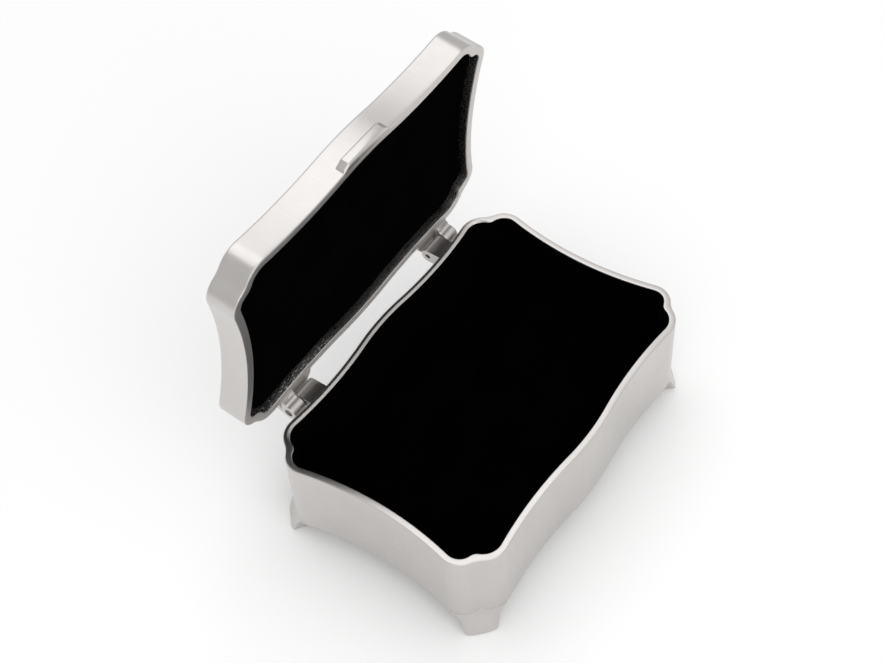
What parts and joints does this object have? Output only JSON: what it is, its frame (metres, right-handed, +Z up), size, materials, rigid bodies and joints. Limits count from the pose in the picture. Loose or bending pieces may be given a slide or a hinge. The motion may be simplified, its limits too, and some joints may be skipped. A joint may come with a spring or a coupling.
{
  "type": "jewellery box",
  "caption": "Footed metal jewellery box with serpentine walls, a velvet-lined tray, a hinged padded lid and a thumb tab.",
  "frame": {"origin": "on the plane the feet stand on, under the middle of the tray's plan", "axes": "+Z up, +X along the hinge line to the right as seen from the front, +Y towards the hinges"},
  "size_m": [0.1412, 0.1123, 0.1433],
  "materials": {
    "satin_silver": "satin silver finish",
    "pin_steel": "plain drawn steel",
    "black_velvet": "short black pile",
    "card": "plain grey-brown card"
  },
  "bodies": {
    "base": {"tray_wall": "satin_silver", "floor_plate": "satin_silver", "wall_lining": "black_velvet", "floor_card": "card", "floor_pad": "black_velvet", "foot_front_left": "satin_silver", "foot_front_right": "satin_silver", "foot_back_left": "satin_silver", "foot_back_right": "satin_silver", "tray_knuckle_left": "satin_silver", "tray_knuckle_right": "satin_silver", "hinge_pin_left": "pin_steel", "hinge_pin_right": "pin_steel"},
    "lid": {"lid_shell": "satin_silver", "lid_card": "card", "lid_pad": "black_velvet", "thumb_tab": "satin_silver", "lid_knuckle_left": "satin_silver", "lid_knuckle_right": "satin_silver"}
  },
  "joints": [
    {"name": "lid_hinge", "type": "hinge", "parent": "base", "child": "lid", "pos_m": [0, 0.0506, 0.0435], "axis": [1, 0, 0], "range_deg": [0, 83.4]}
  ]
}
